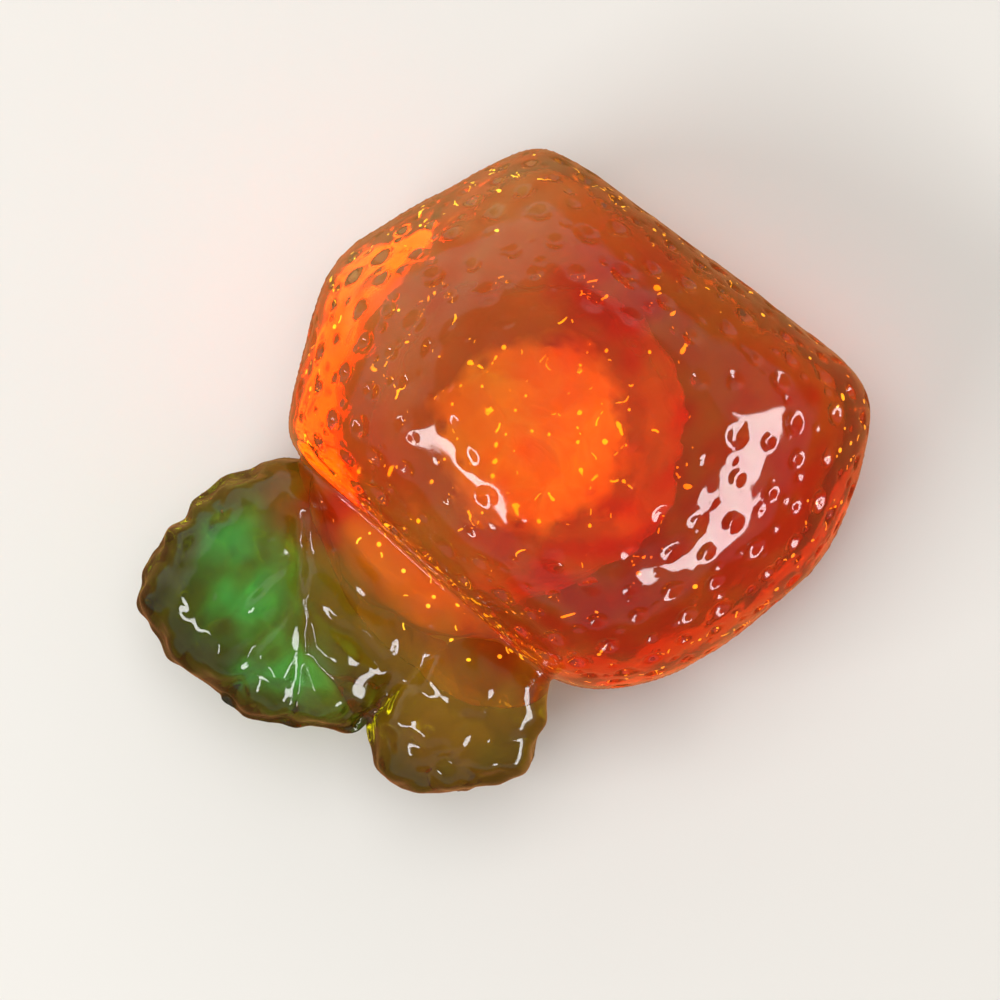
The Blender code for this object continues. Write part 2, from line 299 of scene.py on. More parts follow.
class GUMMY_PG_gel(bpy.types.PropertyGroup):
    """Sizes and colours of the orange and the green gel."""
    voxel: length("Mesh Size", "Edge length of the gel's mesh", 0.14, low=0.1)
    lump_height: length("Lump Height", "Unevenness of the poured gel", 0.1)
    lump_size: length("Lump Size", "Width of one lump", 2.6)
    seam_height: length("Seam Height", "How far the mould seam stands out", 0.12)
    seam_width: length("Seam Width", "Half width of the mould seam", 0.16)
    pore_spacing: length("Pore Spacing", "Least distance between two pores", 1.45)
    pore_radius_low: length("Smallest Pore", "Radius of the smallest pore", 0.3)
    pore_radius_high: length("Largest Pore", "Radius of the largest pore", 0.55)
    pore_depth: FloatProperty(
        name="Pore Depth", description="Depth of a pore as a share of its radius",
        default=0.5, min=0.0, max=1.0, subtype="FACTOR",
    )
    pore_seed: IntProperty(
        name="Pore Seed", description="Picks one scatter of the pores", default=5,
    )
    rib_depth: length("Rib Depth", "Depth of a leaf's middle groove", 0.42)
    vein_depth: length("Vein Depth", "Depth of a leaf's side grooves", 0.26)
    crimp_height: length("Crimp Height", "How far the leaves' scalloped edge wanders", 0.2)
    crimp_size: length("Crimp Size", "Width of one scallop", 0.95)
    groove_width: length("Groove Width", "Half width of a leaf's grooves", 0.4)
    clearness: FloatProperty(
        name="Clearness", description="Share of the light that passes into the gel unscattered",
        default=0.88, min=0.5, max=1.0, subtype="FACTOR",
    )
    orange_light: colour("Orange, Clear", "Tint of the orange gel where it is clear", (1.0, 0.52, 0.06))
    orange_deep: colour("Orange, Cloudy", "Tint of the orange gel where it is cloudy", (1.0, 0.32, 0.03))
    orange_red: colour("Orange, Red", "Tint of the orange gel where it is reddest", (1.0, 0.1, 0.015))
    # Painted light: the amber flank stands in for light shining through the thin gel from behind
    orange_painted_backlight: colour("Orange, Amber", "Tint of the orange gel along its palest flank", (1.0, 0.9, 0.3))
    orange_bleed: colour(
        "Orange at the Leaves", "Tint of the orange gel where it meets the green",
        (1.0, 0.68, 0.05),
    )
    # Painted light: the bright green of the leaves' clear spots stands in for light focused through the
    # gel
    green_painted_light: colour("Green, Clear", "Tint of the green gel where it is clear", (0.05, 1.0, 0.28))
    green_middle: colour("Green", "Tint of most of the green gel", (0.17, 0.21, 0.012))
    green_deep: colour("Green, Cloudy", "Tint of the green gel where it is cloudy", (0.1, 0.08, 0.005))
    # Painted light: this brown is orange light shining up through the small leaf from below, not orange
    # gel mixed into it
    green_painted_underlight: colour(
        "Brown", "Tint of the green gel where orange gel has mixed into it",
        (0.4, 0.12, 0.006),
    )
    # Painted shade: this dark tint darkens the leaves' rim and their dark spots
    green_edge_shade: colour("Green, Edge", "Tint of the green gel along its rim", (0.06, 0.055, 0.004))
    green_bleed: colour(
        "Green at the Fruit", "Tint of the green gel where it meets the orange",
        (1.0, 0.5, 0.04),
    )
    orange_soak: colour(
        "Orange, Through", "What a thick layer of the orange gel lets through",
        (0.985, 0.88, 0.0),
    )
    orange_density: FloatProperty(
        name="Orange Density", description="How quickly the orange gel takes up light, per metre",
        default=900.0, min=0.0,
    )
    green_soak: colour(
        "Green, Through", "What a thick layer of the green gel lets through",
        (0.75, 0.85, 0.4),
    )
    green_density: FloatProperty(
        name="Green Density", description="How quickly the green gel takes up light, per metre",
        default=500.0, min=0.0,
    )


class GUMMY_PG_filling(bpy.types.PropertyGroup):
    """Size, place and colours of the soft filling."""
    radius: length("Radius", "Mean radius of the filling", 5.2)
    height: length("Height", "Height of its middle over the candy's rim", 2.6)
    mound_radius: length("Mound Radius", "Radius of the orange mound on the filling", 3.3)
    mound_height: length("Mound Height", "How far the mound stands over the rest", 1.3)
    unevenness: length("Unevenness", "How far its surface wanders in and out", 0.45)
    pale: colour("Pale", "Colour of the mound's pale clouds", (1.0, 0.85, 0.25))
    deep: colour("Deep", "Colour between its clouds", (1.0, 0.55, 0.06))
    # Painted shade: the red ring round the mound
    ring: colour("Ring", "Colour of the paste round the mound", (0.38, 0.02, 0.015))
    cloud_pale: colour("Cloud, Pale", "Palest colour of the cloudy gel in the tongue", (1.0, 0.5, 0.12))
    cloud_deep: colour("Cloud, Deep", "Deepest colour of the cloudy gel in the tongue", (1.0, 0.25, 0.05))
    cloud_edge: colour("Cloud, Edge", "Colour where the tongue's cloud grows thin", (0.5, 0.14, 0.03))
    # Painted shade: the dark red flank and underside of the filling
    flank: colour("Flank", "Colour of the filling's outer side", (0.5, 0.035, 0.015))


class GUMMY_PG_bubbles(bpy.types.PropertyGroup):
    """The small bubbles round the filling."""
    spacing: length("Spacing", "Least distance between two bubbles", 0.5)
    radius_low: length("Smallest", "Radius of the smallest bubble", 0.03)
    radius_high: length("Largest", "Radius of the largest bubble", 0.11)
    shell: length("Shell", "Mean distance of the bubbles from the filling", 0.7)
    stray: length("Stray", "How far they lie in and out of that shell", 0.5)
    rim_depth: length("Rim Depth", "How deep the bubbles along the rim lie in the gel", 0.9)
    rim_height: length("Rim Height", "Height over the rim where they are thickest", 2.5)
    rim_band: length("Rim Band", "How far they spread up and down from there", 2.5)
    tongue_depth: length("Tongue Depth", "How deep the bubbles of the tongue lie in the gel", 0.9)
    tongue_spacing: length("Tongue Spacing", "Least distance between two bubbles of the tongue", 0.46)
    seed: IntProperty(
        name="Seed", description="Picks one scatter of the bubbles", default=3,
    )
    # Painted glint: the bubbles glow in this colour
    colour: colour("Colour", "Colour of the palest bubbles", (1.0, 0.7, 0.2))


class GUMMY_PG_stage(bpy.types.PropertyGroup):
    """Floor, lights and camera."""
    floor_colour: colour("Floor", "Colour of the floor", (0.83, 0.81, 0.775))
    light: FloatProperty(
        name="Light", description="Strength of all lamps together", default=1.0, min=0.0,
    )
    picture_width: length("Picture Width", "Width that the picture takes in at the candy", 41.0)


def across(points):
    """Distances from the upright axis."""
    return np.hypot(points[:, 0], points[:, 1])


def azimuths_of(points):
    return np.arctan2(points[:, 1], points[:, 0])


def outline_radii(azimuths, flats, widest):
    """Radii of a soft polygon: a circle trimmed by flats that blend at their corners."""
    total = np.full(np.shape(azimuths), (1.0 / widest) ** CORNER_SHARPNESS)
    for degrees, distance in flats:
        facing = np.maximum(np.cos(azimuths - math.radians(degrees)), 0.0)
        total += (facing / distance) ** CORNER_SHARPNESS
    return total ** (-1.0 / CORNER_SHARPNESS)


def pillow_points(azimuths, shares, form, upper, growth=0.0):
    """Points of a pillow form, at shares of the way from its middle to its rim."""
    flats = [(degrees, distance + growth) for degrees, distance in form["flats"]]
    widest = form["radius"] + growth
    rims = outline_radii(azimuths, flats, widest)
    mean = outline_radii(np.linspace(0.0, math.tau, 36, endpoint=False), flats, widest).mean()
    roundness = CROWN_ROUNDNESS * (1.0 - shares ** 2)
    reach = shares * (rims + (mean - rims) * roundness)
    top = np.maximum(0.0, 1.0 - shares ** form["top_power"]) ** (1.0 / form["top_power"])
    back = np.maximum(0.0, 1.0 - shares ** form["back_power"]) ** (1.0 / form["back_curl"])
    heights = np.where(upper, top * (form["rise"] + growth), -back * (form["sag"] + growth))
    return np.stack([reach * np.cos(azimuths), reach * np.sin(azimuths), heights], axis=-1)


def form_matrix(form):
    place = Matrix.Translation(RIM_MIDDLE + Vector(form["place"]))
    tip_up = Matrix.Rotation(math.radians(-form["tip_up"]), 4, "X")
    side_down = Matrix.Rotation(math.radians(form["side_down"]), 4, "Y")
    return place @ tip_up @ side_down


def read_points(mesh):
    points = np.empty(len(mesh.vertices) * 3)
    mesh.vertices.foreach_get("co", points)
    return points.reshape(-1, 3)


def from_rim(item):
    """A piece's points, from the middle of the fruit's rim."""
    return read_points(item.data) - np.array(RIM_MIDDLE)


def write_points(mesh, points):
    mesh.vertices.foreach_set("co", points.astype(np.float32).ravel())
    mesh.update()


def store(mesh, name, values):
    """Keeps a number at each point of a mesh."""
    attribute = mesh.attributes.new(name, "FLOAT", "POINT")
    attribute.data.foreach_set("value", values.astype(np.float32))


def read_normals(mesh):
    normals = np.empty(len(mesh.vertices) * 3)
    mesh.vertices.foreach_get("normal", normals)
    return normals.reshape(-1, 3)


def into_form(points, form):
    """Points of the candy in a form's own axes."""
    matrix = np.array(form_matrix(form).inverted())
    return points @ matrix[:3, :3].T + matrix[:3, 3]


def rim_radii(local, form):
    """Radii of a form's rim in the directions of some points in its own axes."""
    return outline_radii(azimuths_of(local), form["flats"], form["radius"])


def new_object(name, mesh):
    item = bpy.data.objects.new(name, mesh)
    bpy.context.scene.collection.objects.link(item)
    return item


def discard(item):
    mesh = item.data
    bpy.data.objects.remove(item, do_unlink=True)
    if mesh is not None and mesh.users == 0:
        bpy.data.meshes.remove(mesh)


def settled(item):
    """The object with its modifiers carried out and removed."""
    bpy.context.view_layer.update()
    depsgraph = bpy.context.evaluated_depsgraph_get()
    mesh = bpy.data.meshes.new_from_object(item.evaluated_get(depsgraph))
    item.modifiers.clear()
    old = item.data
    item.data = mesh
    if old.users == 0:
        bpy.data.meshes.remove(old)
    return item


def into_mesh(bm, name):
    """The mesh of some edited faces, which it frees."""
    mesh = bpy.data.meshes.new(name)
    bm.to_mesh(mesh)
    bm.free()
    return mesh


def round_grid(name, around, rings):
    """A ball of rings between two poles, with its points and faces always in the same order."""
    points = [(0.0, 0.0, 1.0)]
    for tilt in np.linspace(0.0, math.pi, rings + 1)[1:-1]:
        for turn in np.linspace(0.0, math.tau, around, endpoint=False):
            flat = math.sin(tilt)
            points.append((flat * math.cos(turn), flat * math.sin(turn), math.cos(tilt)))
    points.append((0.0, 0.0, -1.0))
    last = len(points) - 1
    steps = [(k, (k + 1) % around) for k in range(around)]
    faces = [(0, 1 + k, 1 + after) for k, after in steps]
    for ring in range(rings - 2):
        upper = 1 + ring * around
        lower = upper + around
        faces += [(upper + k, lower + k, lower + after, upper + after) for k, after in steps]
    lower = last - around
    faces += [(last, lower + after, lower + k) for k, after in steps]
    mesh = bpy.data.meshes.new(name)
    mesh.from_pydata(points, [], faces)
    return mesh


def make_pillow(name, form, around, growth=0.0):
    """A ball drawn out to a pillow form: its equator becomes the rim."""
    mesh = round_grid(name, around, around // 2)
    points = read_points(mesh)
    shares = np.minimum(1.0, across(points))
    azimuths = azimuths_of(points)
    upper = points[:, 2] > -ROUNDING
    write_points(mesh, pillow_points(azimuths, shares, form, upper, growth))
    mesh.transform(form_matrix(form))
    return new_object(name, mesh)


def make_ball_mesh(name, subdivisions):
    bm = bmesh.new()
    bmesh.ops.create_icosphere(bm, subdivisions=subdivisions, radius=1.0)
    return into_mesh(bm, name)


def add_boolean(item, operation, operand):
    modifier = item.modifiers.new(operation.title(), "BOOLEAN")
    modifier.operation = operation
    modifier.solver = "MANIFOLD"
    modifier.object = operand


def merged_forms(voxel):
    """The whole candy as one even mesh: fruit, neck and both leaves poured together."""
    pillows = [make_pillow("pour", form, FINE_AROUND) for form in FORMS]
    bm = bmesh.new()
    for pillow in pillows:
        bm.from_mesh(pillow.data)
        discard(pillow)
    candy = new_object("candy", into_mesh(bm, "candy"))
    remesh = candy.modifiers.new("Even Mesh", "REMESH")
    remesh.mode = "VOXEL"
    remesh.voxel_size = voxel
    soften = candy.modifiers.new("Soften", "SMOOTH")
    soften.factor = 0.5
    soften.iterations = 4
    return settled(candy)


def noise_field(points, size, seed):
    """Smooth noise from about -1 to 1 at each point."""
    shift = Vector([seed * step for step in SEED_STEP])
    return np.array([noise.noise(Vector(point) / size + shift) for point in points])


def sway(points, share, size, seed):
    return share * noise_field(points, size, seed)


def ridge(distance, width):
    """1 at no distance, falling off over a width to both sides."""
    return np.exp(-(distance / width) ** 2)


def rising(values, start, width):
    """0 up to a start and 1 from a width beyond it on, even between them."""
    return np.clip((values - start) / width, 0.0, 1.0)


def seam_shares(points, width):
    """1 on the mould seam, which runs along the rim of every form, falling off beside it."""
    shares = np.zeros(len(points))
    for form in FORMS:
        local = into_form(points, form)
        away = np.hypot(across(local) - rim_radii(local, form), local[:, 2])
        shares = np.maximum(shares, ridge(away, width))
    return shares


def rib_at(leaf, t):
    """Shares across and along at t from 0 to 1 on the rib, through its few points."""
    points = leaf["rib"]
    scaled = t * (len(points) - 1)
    k = min(int(scaled), len(points) - 2)
    return Vector(points[k]).lerp(Vector(points[k + 1]), scaled - k)


def vein_lines(leaf):
    """Side veins in pairs, as lines of shares across and along the leaf."""
    lines = []
    for t in leaf["vein_roots"]:
        root = rib_at(leaf, t)
        ahead = (rib_at(leaf, t + RIB_AHEAD) - root).normalized()
        for side in (-1, 1):
            step = Matrix.Rotation(math.radians(side * VEIN_SWEEP), 2) @ ahead
            reaches = np.linspace(VEIN_START, VEIN_END, VEIN_POINTS)
            lines.append([root + step * reach for reach in reaches])
    return lines


def groove_depths(points, leaf, lines, width, depth):
    """Depth of the grooves along some lines on a leaf's upper face, at each point."""
    local = into_form(points, leaf)
    depths = np.zeros(len(points))
    near = across(local) < NEAR_LEAF * leaf["radius"]
    near &= local[:, 2] > 0.0
    on_leaf = local[near][:, :2]
    for line in lines:
        shares = np.array([tuple(point) for point in line])
        azimuths = azimuths_of(shares)
        lengths = np.minimum(WITHIN_RIM, across(shares))
        way = pillow_points(azimuths, lengths, leaf, True)[:, :2]
        away = np.full(len(on_leaf), np.inf)
        for start, end in zip(way[:-1], way[1:]):
            along = end - start
            t = np.clip((on_leaf - start) @ along / max(along @ along, 1e-12), 0.0, 1.0)
            away = np.minimum(away, np.linalg.norm(on_leaf - start - t[:, None] * along, axis=1))
        depths[near] = np.maximum(depths[near], depth * ridge(away, width))
    return depths


def crimped_edge(points, leaf, gel):
    """Uneven scallops along a leaf's rim, fading out over its faces."""
    local = into_form(points, leaf)
    azimuths = azimuths_of(local)
    rims = rim_radii(local, leaf)
    away = np.abs(across(local) - rims)
    on_rim = np.stack([rims * np.cos(azimuths), rims * np.sin(azimuths), 0.0 * rims], axis=-1)
    scallops = noise_field(on_rim, gel.crimp_size, CRIMP_SEED)
    return gel.crimp_height * scallops * ridge(away, CRIMP_BAND)


def shape_surface(candy, gel):
    """Lumps, mould seam, leaf ribs and veins, as small moves along the surface's normals."""
    mesh = candy.data
    points, normals = read_points(mesh), read_normals(mesh)
    local = points - np.array(RIM_MIDDLE)
    at_leaves = rising(-local[:, 1], LEAVES_START, LEAVES_BLEND)
    at_wall = ridge(local[:, 1] + WALL_PLACE, WALL_BAND)
    at_wall *= np.abs(local[:, 2]) < WALL_HALF_HEIGHT

    def lumps_of(size, seed):
        return noise_field(points, gel.lump_size * size, seed)

    lumps = lumps_of(*LUMPS)
    lumps += (FINE_SHARE + FINE_LEAF_SHARE * at_leaves) * lumps_of(*FINE_LUMPS)
    lumps += GRAIN_SHARE * at_leaves * lumps_of(*GRAIN)
    move = gel.lump_height * lumps * (1.0 + LEAF_LUMPS * at_leaves) * (1.0 - at_wall)
    move += gel.seam_height * seam_shares(points, gel.seam_width)
    for leaf in LEAVES:
        rib = [[rib_at(leaf, t) for t in np.linspace(0.0, 1.0, RIB_POINTS)]]
        rib_depth = groove_depths(points, leaf, rib, gel.groove_width, gel.rib_depth)
        veins = groove_depths(points, leaf, vein_lines(leaf), gel.groove_width, gel.vein_depth)
        move -= leaf["vein_share"] * np.maximum(rib_depth, veins) * at_leaves
        move += crimped_edge(points, leaf, gel) * at_leaves
    write_points(mesh, points + normals * move[:, None])


def mark_dome(candy):
    """Stores where pores lie: all over the dome, not on the neck, the leaves or the back."""
    local = from_rim(candy)
    share = rising(local[:, 2], DOME_START, DOME_BLEND)
    share[(local[:, 1] < -NECK_START) & (local[:, 2] < NECK_TOP)] = 0.0
    crown = rising(local[:, 2], CROWN_START, CROWN_END - CROWN_START)
    store(candy.data, "dome_share", share)
    store(candy.data, "pore_share", 1.0 - (1.0 - CROWN_PORES) * crown)


def feed(tree, node, values):
    """Links outputs to a node's inputs, or sets the inputs' own values."""
    for name, value in values.items():
        if isinstance(value, bpy.types.NodeSocket):
            tree.links.new(value, node.inputs[name])
        else:
            node.inputs[name].default_value = value


def add_node(tree, kind, values=None, **settings):
    node = tree.nodes.new(kind)
    for name, value in settings.items():
        setattr(node, name, value)
    feed(tree, node, values or {})
    return node


def new_tree(name, kind, inputs, outputs):
    """A node group with named sockets; returns it, its start's sockets and its end node."""
    tree = bpy.data.node_groups.new(name, kind)
    for side, sockets in (("INPUT", inputs), ("OUTPUT", outputs)):
        for label, value in sockets.items():
            tree.interface.new_socket(label, in_out=side, socket_type="NodeSocket" + value)
    return tree, add_node(tree, "NodeGroupInput").outputs, add_node(tree, "NodeGroupOutput")


def math_node(tree, operation, first, second):
    node = add_node(tree, "ShaderNodeMath", {0: first, 1: second}, operation=operation)
    return node.outputs[0]


def times(tree, first, second):
    return math_node(tree, "MULTIPLY", first, second)


def map_range(tree, value, start, end, low=0.0, high=1.0, kind="LINEAR"):
    values = {"Value": value, "From Min": start, "From Max": end, "To Min": low, "To Max": high}
    return add_node(tree, "ShaderNodeMapRange", values, interpolation_type=kind).outputs["Result"]


def scaled(tree, vector, factor):
    values = {0: vector, "Scale": factor}
    return add_node(tree, "ShaderNodeVectorMath", values, operation="SCALE").outputs["Vector"]


def random_number(tree, low, high, seed):
    values = {2: low, 3: high, "Seed": seed}
    return add_node(tree, "FunctionNodeRandomValue", values, data_type="FLOAT").outputs[1]


def stored_number(tree, name):
    node = add_node(tree, "GeometryNodeInputNamedAttribute", {"Name": name}, data_type="FLOAT")
    return node.outputs["Attribute"]


def scattered(tree, mesh, spacing, share, seed):
    """Points scattered over a mesh, fewer where its stored share is low."""
    values = {
        "Mesh": mesh, "Distance Min": spacing, "Density Max": DENSITY_LIMIT,
        "Density Factor": stored_number(tree, share), "Seed": seed,
    }
    kind = "GeometryNodeDistributePointsOnFaces"
    return add_node(tree, kind, values, distribute_method="POISSON").outputs


def moved(tree, geometry, offset):
    values = {"Geometry": geometry, "Offset": offset}
    return add_node(tree, "GeometryNodeSetPosition", values).outputs["Geometry"]


def finish_mesh(tree, end, geometry, material):
    """Ends a tree with plain faces in their material."""
    whole = add_node(tree, "GeometryNodeRealizeInstances", {"Geometry": geometry})
    values = {"Geometry": whole.outputs["Geometry"], "Material": material}
    clothed = add_node(tree, "GeometryNodeSetMaterial", values)
    feed(tree, end, {"Geometry": clothed.outputs["Geometry"]})


def pore_pass(tree, geometry, spacing, low, high, depth, seed):
    """Scatters points over the dome and dents the surface at each of them."""
    points = scattered(tree, geometry, spacing, "dome_share", seed)["Points"]
    nearest = add_node(tree, "GeometryNodeSampleNearest", {"Geometry": points}, domain="POINT")
    position = add_node(tree, "GeometryNodeInputPosition").outputs["Position"]

    def at_nearest(value, kind):
        values = {"Geometry": points, "Value": value, "Index": nearest.outputs["Index"]}
        node = add_node(tree, "GeometryNodeSampleIndex", values, data_type=kind, domain="POINT")
        return node.outputs["Value"]

    centre = at_nearest(position, "FLOAT_VECTOR")
    radius = at_nearest(random_number(tree, low, high, seed), "FLOAT")
    away = add_node(tree, "ShaderNodeVectorMath", {0: position, 1: centre}, operation="DISTANCE")
    share = math_node(tree, "DIVIDE", away.outputs["Value"], radius)
    square = times(tree, share, share)
    bowl = math_node(tree, "MAXIMUM", math_node(tree, "SUBTRACT", 1.0, square), 0.0)
    bowl = math_node(tree, "POWER", bowl, PORE_BOWL)
    bowl = times(tree, bowl, stored_number(tree, "pore_share"))
    bowl = times(tree, bowl, depth)
    dent = times(tree, bowl, radius)
    normal = add_node(tree, "GeometryNodeInputNormal").outputs["Normal"]
    return moved(tree, geometry, scaled(tree, normal, times(tree, dent, -1.0)))


def pore_tree():
    """Dents the dome with pores and, between them, with pinpricks."""
    inputs = {
        "Geometry": "Geometry", "Spacing": "Float", "Smallest Radius": "Float",
        "Largest Radius": "Float", "Depth": "Float", "Seed": "Int", "Gel": "Material",
    }
    tree, start, end = new_tree("Dome Pores", "GeometryNodeTree", inputs, {"Geometry": "Geometry"})
    pored = pore_pass(
        tree, start["Geometry"], start["Spacing"], start["Smallest Radius"],
        start["Largest Radius"], start["Depth"], start["Seed"],
    )
    fine_spacing = times(tree, start["Spacing"], PINPRICK_SPACING)
    fine_low = times(tree, start["Smallest Radius"], PINPRICK_SIZE)
    fine_high = times(tree, start["Largest Radius"], PINPRICK_SIZE)
    fine_seed = math_node(tree, "ADD", start["Seed"], 1.0)
    pricked = pore_pass(tree, pored, fine_spacing, fine_low, fine_high, start["Depth"], fine_seed)
    finish_mesh(tree, end, pricked, start["Gel"])
    return tree


def carry_out(item, name, tree, values):
    """Runs a Geometry Nodes tree on an object, its inputs set by their identifiers."""
    modifier = item.modifiers.new(name, "NODES")
    modifier.node_group = tree
    for socket in tree.interface.items_tree:
        if socket.in_out == "INPUT" and socket.name in values:
            modifier[socket.identifier] = values[socket.name]
    return settled(item)


def sink_pores(candy, gel, material):
    values = {
        "Spacing": gel.pore_spacing,
        "Smallest Radius": gel.pore_radius_low,
        "Largest Radius": gel.pore_radius_high,
        "Depth": gel.pore_depth,
        "Seed": gel.pore_seed,
        "Gel": material,
    }
    carry_out(candy, "Pores", pore_tree(), values)


def tongue_matrix():
    tilt = Matrix.Rotation(math.radians(TONGUE_TILT), 4, "Y")
    return Matrix.Translation(RIM_MIDDLE + Vector((*TONGUE_PLACE, 0.0))) @ tilt


def leaf_space(growth):
    """The space of the green gel: before the fruit and outside the tongue's uneven cone."""
    bm = bmesh.new()
    bmesh.ops.create_cube(bm, size=LEAF_SPACE_SIZE)
    move = RIM_MIDDLE + Vector((0.0, LEAF_SPACE_START - 0.5 * LEAF_SPACE_SIZE - growth, 0.0))
    bmesh.ops.translate(bm, verts=bm.verts, vec=move)
    space = new_object("leaf_space", into_mesh(bm, "leaf_space"))

    spread = TONGUE_HALF_DEPTH * math.tan(math.radians(TONGUE_LEAN))
    bm = bmesh.new()
    bmesh.ops.create_cone(
        bm, cap_ends=True, segments=128, depth=2 * TONGUE_HALF_DEPTH,
        radius1=TONGUE_RADIUS - spread + growth, radius2=TONGUE_RADIUS + spread + growth,
    )
    for vert in bm.verts:
        outwards = Vector((vert.co.x, vert.co.y, 0.0))
        if outwards.length > 0.0:
            outwards.normalize()
            place = outwards * TONGUE_WAVES + Vector((0.0, 0.0, vert.co.z * TONGUE_TWIST))
            vert.co += outwards * noise.noise(place) * TONGUE_WANDER
    bmesh.ops.transform(bm, matrix=tongue_matrix(), verts=bm.verts)
    tongue = new_object("tongue", into_mesh(bm, "tongue"))
    wall = make_pillow("wall", FRUIT, SHELL_AROUND, ORANGE_SKIN + growth)
    add_boolean(space, "DIFFERENCE", tongue)
    add_boolean(space, "DIFFERENCE", wall)
    settled(space)
    discard(tongue)
    discard(wall)
    return space


def cut_from(candy, name, operation, space, material):
    """A piece of the candy on one side of the leaf space's walls."""
    piece = new_object(name, candy.data.copy())
    add_boolean(piece, operation, space)
    settled(piece)
    piece.data.name = name
    piece.data.materials.clear()
    piece.data.materials.append(material)
    piece.data.shade_smooth()
    piece.data.set_sharp_from_angle(angle=math.radians(SHARP_ANGLE))
    for used in ("dome_share", "pore_share"):
        if used in piece.data.attributes:
            piece.data.attributes.remove(piece.data.attributes[used])
    discard(space)
    return piece


def mark_bleed(piece):
    """Stores how near each point lies to the join, where the two colours run into each other."""
    points = read_points(piece.data)
    matrix = np.array(tongue_matrix().inverted())
    local = points @ matrix[:3, :3].T + matrix[:3, 3]
    radii = TONGUE_RADIUS + local[:, 2] * math.tan(math.radians(TONGUE_LEAN))
    away = np.abs(across(local) - radii)
    on_neck = rising(RIM_MIDDLE.y - points[:, 1], NECK_START, NECK_BLEND)
    store(piece.data, "bleed", np.exp(-away / BLEED_WIDTH) * on_neck)


def mark_painted_edge_shade(piece):
    """Stores how near each point of the green gel lies to its rim, where painted shade darkens it."""
    points = read_points(piece.data)
    away = np.full(len(points), np.inf)
    for leaf in LEAVES:
        local = into_form(points, leaf)
        inside = rim_radii(local, leaf) - across(local)
        away = np.where(inside > -EDGE_SHADE_OUTSIDE, np.minimum(away, np.abs(inside)), away)
    deep_in = np.zeros(len(points), dtype=bool)
    for form in (*LEAVES, NECK):
        local = into_form(points, form)
        deep_in |= across(local) < rim_radii(local, form) - EDGE_SHADE_WIDTH
    store(piece.data, "edge", np.where(deep_in, 0.0, ridge(away, EDGE_SHADE_WIDTH)))


def mark_stains_and_painted_light(piece, stains_and_painted_light):
    """Stores a share for each tint, real stain and painted light and shade alike, through the whole
    thickness of the gel.
    """
    local = from_rim(piece)
    wander = noise_field(local, STAIN_SWAY_SIZE, STAIN_SEED)
    for name, spots in stains_and_painted_light.items():
        shares = np.zeros(len(local))
        for x, y, width in spots:
            away = np.hypot(local[:, 0] - x, local[:, 1] - y)
            away = np.maximum(away + STAIN_SWAY * width * wander, 0.0)
            shares = np.maximum(shares, ridge(away, width))
        store(piece.data, name, shares)


def new_material(name):
    material = bpy.data.materials.new(name)
    material.use_nodes = True
    tree = material.node_tree
    return material, tree, tree.nodes["Principled BSDF"]


def noise_pattern(tree, **values):
    """Noise that keeps its place on the piece."""
    where = add_node(tree, "ShaderNodeTexCoord").outputs["Object"]
    return add_node(tree, "ShaderNodeTexNoise", {"Vector": where, **values}).outputs["Fac"]


def stored_share(tree, name):
    return add_node(tree, "ShaderNodeAttribute", attribute_name=name).outputs["Fac"]


def gel_surface_group():
    """Shared by both gels: clouds in the pour and a haze in its gloss."""
    tree, start, end = new_tree(
        "Gel Surface", "ShaderNodeTree",
        {"Cloud Scale": "Float", "Gloss": "Float", "Haze": "Float"},
        {"Cloud": "Float", "Roughness": "Float"},
    )
    cloud = noise_pattern(tree, Scale=start["Cloud Scale"], Detail=2.0)
    contrast = map_range(tree, cloud, *CLOUD_CONTRAST, kind="SMOOTHSTEP")
    haze = map_range(tree, contrast, 0.0, 1.0, start["Gloss"], start["Haze"])
    feed(tree, end, {"Cloud": contrast, "Roughness": haze})
    return tree


def mix_colour(tree, factor, first, second):
    """A colour mix; each side is a colour or an output."""
    node = add_node(tree, "ShaderNodeMix", {0: factor}, data_type="RGBA")
    sides = [k for k, socket in enumerate(node.inputs) if socket.type == "RGBA"]
    for k, value in zip(sides, (first, second)):
        plain = not isinstance(value, bpy.types.NodeSocket)
        feed(tree, node, {k: (*value, 1.0) if plain else value})
    return next(socket for socket in node.outputs if socket.type == "RGBA")


def gel_material(name, clear, cloudy, stains_and_painted_light, clearness, soak, density, surface):
    """Clear gel: tinted where light enters it, and deeper in colour the thicker it is.

    Stains are pairs of a stored share's name and the tint that it brings, each over the last; some of them
    are painted light and shade.
    """
    material, tree, shader = new_material(name)
    values = {"Cloud Scale": 240.0, "Gloss": 0.03, "Haze": 0.09}
    group = add_node(tree, "ShaderNodeGroup", values, node_tree=surface)
    tint = mix_colour(tree, group.outputs["Cloud"], clear, cloudy)
    for share, added_tint in stains_and_painted_light:
        tint = mix_colour(tree, stored_share(tree, share), tint, added_tint)
    values = {
        "Base Color": tint, "Roughness": group.outputs["Roughness"], "IOR": 1.43,
        "Transmission Weight": clearness,
    }
    feed(tree, shader, values)
    values = {"Color": (*soak, 1.0), "Density": density}
    volume = add_node(tree, "ShaderNodeVolumeAbsorption", values)
    feed(tree, tree.nodes["Material Output"], {"Volume": volume.outputs["Volume"]})
    return material


